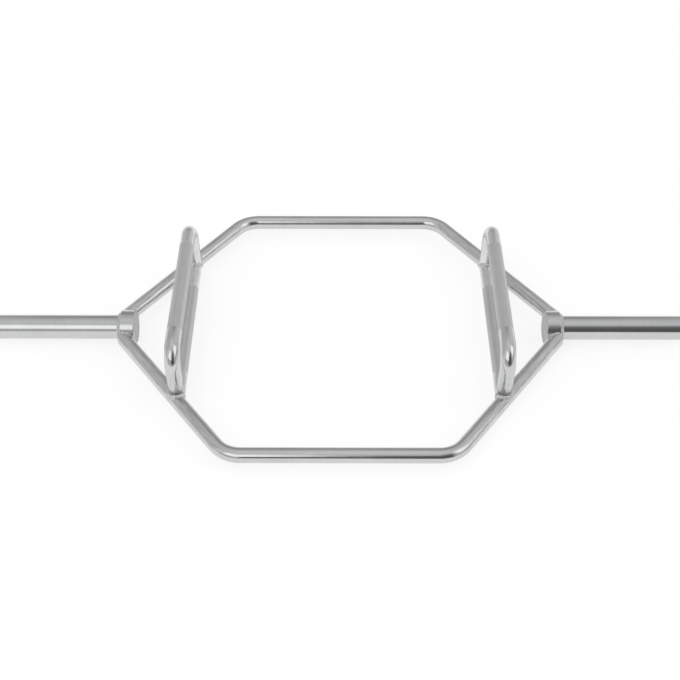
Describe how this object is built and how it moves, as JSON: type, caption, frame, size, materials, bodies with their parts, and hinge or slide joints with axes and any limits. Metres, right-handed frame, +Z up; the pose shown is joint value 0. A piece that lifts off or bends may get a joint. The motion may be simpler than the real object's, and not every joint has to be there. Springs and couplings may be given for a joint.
{
  "type": "hex trap bar",
  "caption": "Chrome hex trap bar: a bent round-bar hexagon with plain loading sleeves and knurled grips, low ones in the frame and raised ones above it.",
  "frame": {"origin": "on the floor under the middle of the hexagon, level with the collars' lowest points", "axes": "+X along the sleeves to the right, +Y to the rear rail, +Z up to the raised handles"},
  "size_m": [1.422, 0.697, 0.165],
  "materials": {
    "chrome": "bright plated",
    "grip_chrome": "knurled, satin",
    "weld_chrome": "plated bead"
  },
  "bodies": {
    "root": {"front_frame_rail": "chrome", "rear_frame_rail": "chrome", "left_collar": "chrome", "left_collar_plug": "chrome", "left_sleeve": "chrome", "left_sleeve_end_cap": "chrome", "right_collar": "chrome", "right_collar_plug": "chrome", "right_sleeve": "chrome", "right_sleeve_end_cap": "chrome", "left_low_handle": "grip_chrome", "left_raised_handle": "grip_chrome", "right_low_handle": "grip_chrome", "right_raised_handle": "grip_chrome", "left_sleeve_weld": "weld_chrome", "left_front_leg_weld": "weld_chrome", "left_rear_leg_weld": "weld_chrome", "left_low_handle_welds": "weld_chrome", "left_raised_handle_welds": "weld_chrome", "right_sleeve_weld": "weld_chrome", "right_front_leg_weld": "weld_chrome", "right_rear_leg_weld": "weld_chrome", "right_low_handle_welds": "weld_chrome", "right_raised_handle_welds": "weld_chrome"}
  },
  "joints": []
}
